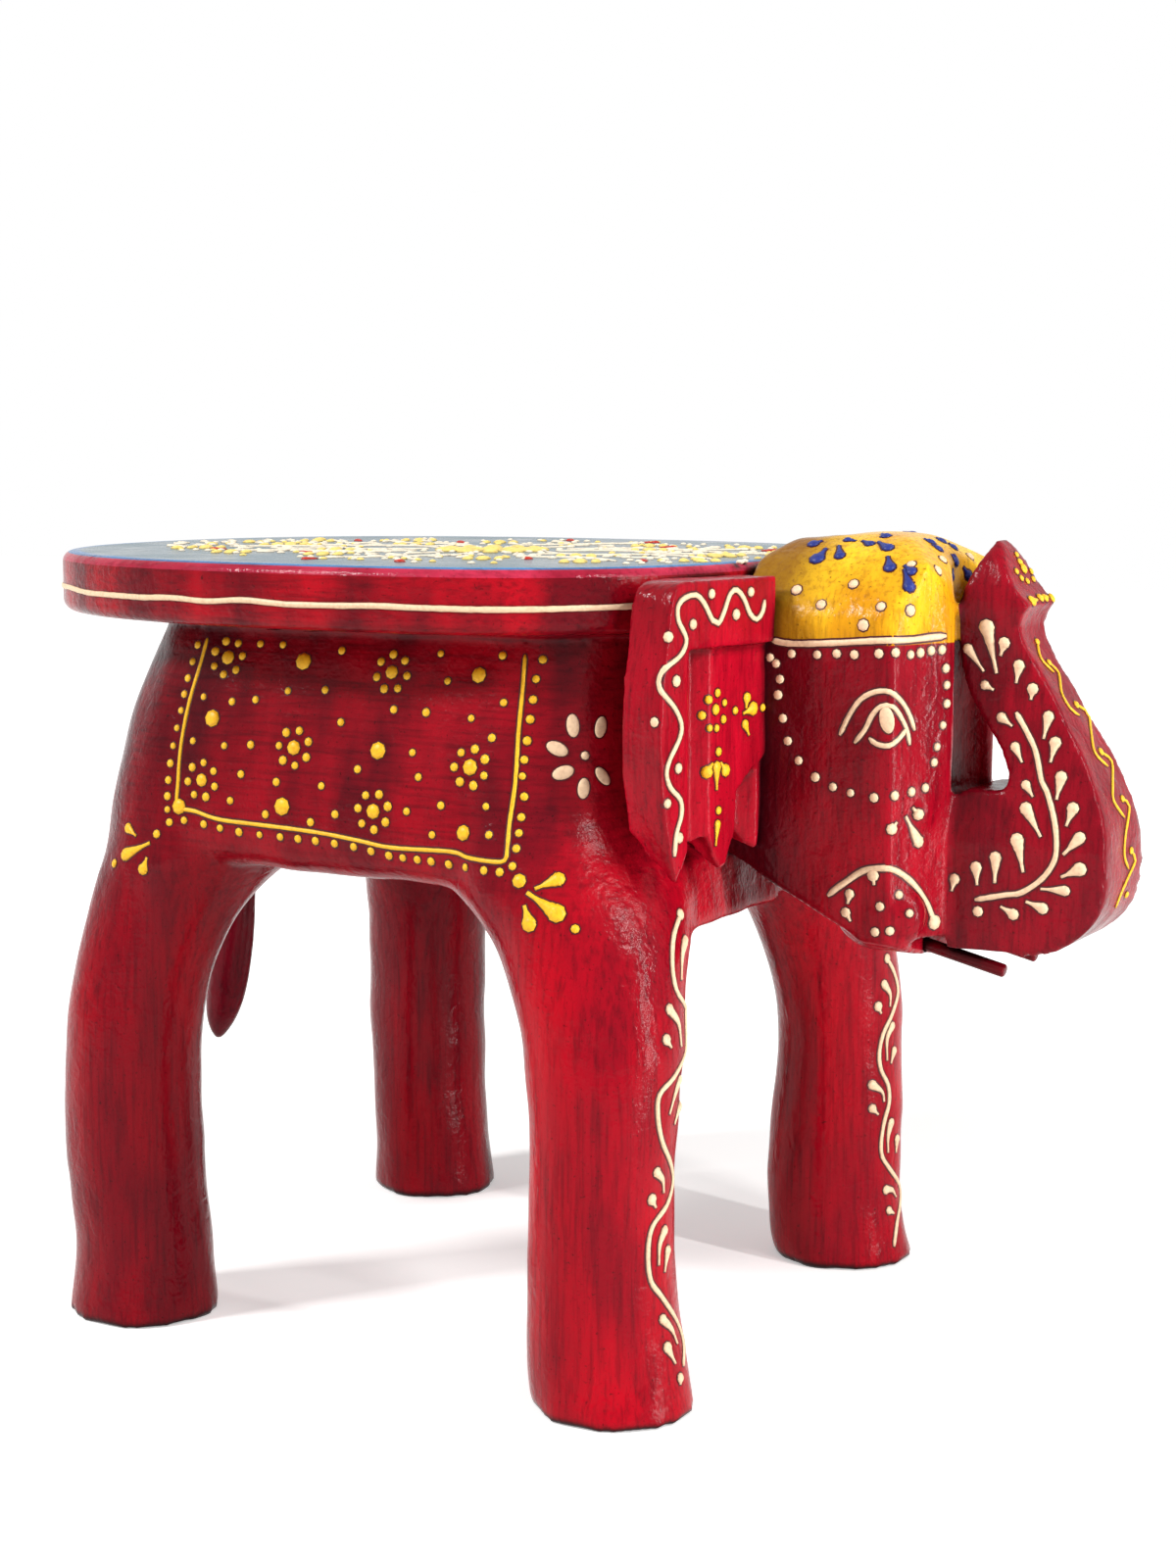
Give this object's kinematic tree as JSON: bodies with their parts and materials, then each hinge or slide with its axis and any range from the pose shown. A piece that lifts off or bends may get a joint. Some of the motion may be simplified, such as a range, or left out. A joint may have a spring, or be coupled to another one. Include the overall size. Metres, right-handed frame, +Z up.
{
  "type": "carved elephant stool",
  "caption": "Low painted wooden stool carved as an elephant: an oval seat on its back, four post legs, a domed head with board ears and a raised trunk.",
  "frame": {"origin": "on the floor under the middle of the whole stool, nose to seat back", "axes": "+X towards the elephant's head, +Y to its left, +Z up"},
  "size_m": [0.414, 0.251, 0.2903],
  "materials": {
    "seat_paint": "blue-grey gloss paint on top, red at the edge",
    "red_paint": "deep red lacquered paint with a brown wash and raised painted dots",
    "bare_wood": "bare turned dowel",
    "nail_steel": "drawn wire"
  },
  "bodies": {
    "root": {"seat_board": "seat_paint", "torso_block": "red_paint", "leg_front_right": "red_paint", "leg_front_left": "red_paint", "leg_hind_right": "red_paint", "leg_hind_left": "red_paint", "head_block": "red_paint", "trunk_board": "red_paint", "ear_right": "red_paint", "ear_left": "red_paint", "tusk_right": "red_paint", "tusk_left": "red_paint", "tail": "red_paint", "leg_dowels": "bare_wood", "neck_dowels": "bare_wood", "trunk_dowels": "bare_wood", "ear_dowels": "bare_wood", "tail_dowel": "bare_wood", "seat_nails": "nail_steel"}
  },
  "joints": []
}
